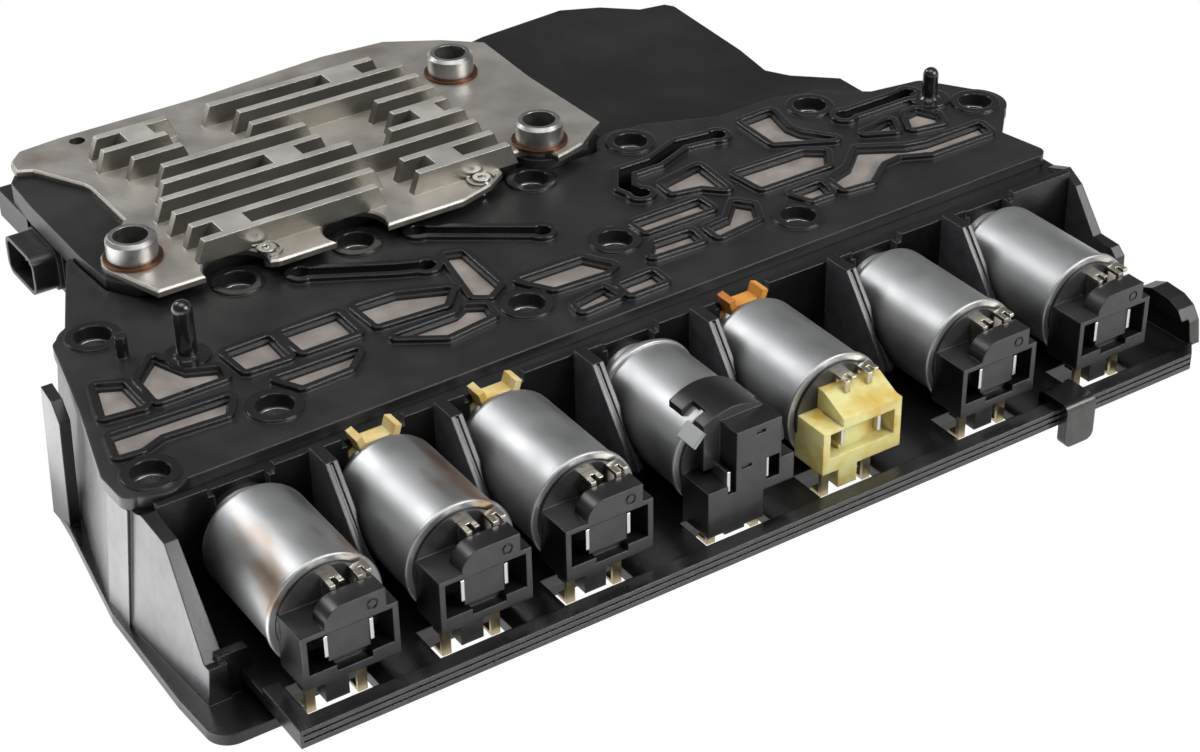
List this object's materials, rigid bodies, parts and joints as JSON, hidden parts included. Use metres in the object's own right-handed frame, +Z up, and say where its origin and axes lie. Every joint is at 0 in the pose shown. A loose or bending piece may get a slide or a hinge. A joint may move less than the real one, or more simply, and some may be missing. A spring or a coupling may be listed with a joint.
{
  "type": "electrohydraulic transmission control module",
  "caption": "Transmission control module: a row of solenoids with connectors, a filter plate with screens and finned electronics on one moulded housing.",
  "frame": {"origin": "bottom centre of the bounding box", "axes": "+X along the row of solenoids, +Y from the solenoids towards the heat sink, +Z up"},
  "size_m": [0.2274, 0.1778, 0.0415],
  "materials": {
    "housing_black": "black glass-filled nylon with an oily sheen",
    "plate_black": "black moulded plate, oily",
    "screen": "woven beige filter mesh",
    "tray_black": "black moulding, smooth",
    "sink_aluminium": "die-cast, slightly stained",
    "bushing_steel": "turned steel",
    "ring_copper": "copper-coloured crush ring",
    "rivet_steel": "bright rivet",
    "electronics_black": "black moulding",
    "board": "green laminate",
    "socket_black": "black moulding",
    "pin_tin": "tin-plated pin",
    "seal_rubber": "silicone ring",
    "lug_tin": "tin-plated lug",
    "blade_tin": "tin-plated blade",
    "leg_brass": "brass contact leg",
    "can_steel": "zinc-plated drawn steel",
    "connector_nylon": "yellowed natural nylon",
    "connector_black": "black nylon",
    "coil_copper": "copper winding",
    "armature_steel": "ground steel",
    "spring_steel": "spring wire",
    "nose_amber": "amber nylon",
    "nose_black": "black nylon",
    "sleeve_steel": "rolled steel sleeve"
  },
  "bodies": {
    "module": {"solenoid_housing": "housing_black", "bolt_sleeves": "sleeve_steel", "filter_plate": "plate_black", "filter_screens": "screen", "lead_frame_tray": "tray_black", "heat_sink": "sink_aluminium", "mounting_bushings": "bushing_steel", "crush_rings": "ring_copper", "heat_sink_rivets": "rivet_steel", "electronics_housing": "electronics_black", "circuit_board": "board", "harness_socket": "socket_black", "harness_socket_pins": "pin_tin", "harness_socket_seal": "seal_rubber", "terminal_lugs": "lug_tin", "contact_blades": "blade_tin", "contact_legs": "leg_brass", "solenoid_1_can": "can_steel", "solenoid_1_connector": "connector_black", "solenoid_1_coil": "coil_copper", "solenoid_1_spring": "spring_steel", "solenoid_1_nose": "nose_black", "solenoid_2_can": "can_steel", "solenoid_2_connector": "connector_black", "solenoid_2_coil": "coil_copper", "solenoid_2_spring": "spring_steel", "solenoid_2_nose": "nose_amber", "solenoid_3_can": "can_steel", "solenoid_3_connector": "connector_black", "solenoid_3_coil": "coil_copper", "solenoid_3_spring": "spring_steel", "solenoid_3_nose": "nose_amber", "solenoid_4_can": "can_steel", "solenoid_4_connector": "connector_black", "solenoid_4_coil": "coil_copper", "solenoid_4_spring": "spring_steel", "solenoid_4_nose": "nose_black", "solenoid_5_can": "can_steel", "solenoid_5_connector": "connector_nylon", "solenoid_5_coil": "coil_copper", "solenoid_5_spring": "spring_steel", "solenoid_5_nose": "nose_amber", "solenoid_6_can": "can_steel", "solenoid_6_connector": "connector_black", "solenoid_6_coil": "coil_copper", "solenoid_6_spring": "spring_steel", "solenoid_6_nose": "nose_black", "solenoid_7_can": "can_steel", "solenoid_7_connector": "connector_black", "solenoid_7_coil": "coil_copper", "solenoid_7_spring": "spring_steel", "solenoid_7_nose": "nose_black", "solenoid_5_end_disc": "connector_black"},
    "armature_1": {"solenoid_1_armature": "armature_steel"},
    "armature_2": {"solenoid_2_armature": "armature_steel"},
    "armature_3": {"solenoid_3_armature": "armature_steel"},
    "armature_4": {"solenoid_4_armature": "armature_steel"},
    "armature_5": {"solenoid_5_armature": "armature_steel"},
    "armature_6": {"solenoid_6_armature": "armature_steel"},
    "armature_7": {"solenoid_7_armature": "armature_steel"}
  },
  "joints": [
    {"name": "armature_1_slide", "type": "slide", "parent": "module", "child": "armature_1", "axis": [0, -1, 0], "range_m": [0, 0.001], "stiffness_N_per_m": 600, "springref_m": -0.003, "deforming": ["solenoid_1_spring"]},
    {"name": "armature_2_slide", "type": "slide", "parent": "module", "child": "armature_2", "axis": [0, -1, 0], "range_m": [0, 0.001], "stiffness_N_per_m": 600, "springref_m": -0.003, "deforming": ["solenoid_2_spring"]},
    {"name": "armature_3_slide", "type": "slide", "parent": "module", "child": "armature_3", "axis": [0, -1, 0], "range_m": [0, 0.001], "stiffness_N_per_m": 600, "springref_m": -0.003, "deforming": ["solenoid_3_spring"]},
    {"name": "armature_4_slide", "type": "slide", "parent": "module", "child": "armature_4", "axis": [0, -1, 0], "range_m": [0, 0.001], "stiffness_N_per_m": 600, "springref_m": -0.003, "deforming": ["solenoid_4_spring"]},
    {"name": "armature_5_slide", "type": "slide", "parent": "module", "child": "armature_5", "axis": [0, -1, 0], "range_m": [0, 0.001], "stiffness_N_per_m": 600, "springref_m": -0.003, "deforming": ["solenoid_5_spring"]},
    {"name": "armature_6_slide", "type": "slide", "parent": "module", "child": "armature_6", "axis": [0, -1, 0], "range_m": [0, 0.001], "stiffness_N_per_m": 600, "springref_m": -0.003, "deforming": ["solenoid_6_spring"]},
    {"name": "armature_7_slide", "type": "slide", "parent": "module", "child": "armature_7", "axis": [0, -1, 0], "range_m": [0, 0.001], "stiffness_N_per_m": 600, "springref_m": -0.003, "deforming": ["solenoid_7_spring"]}
  ]
}
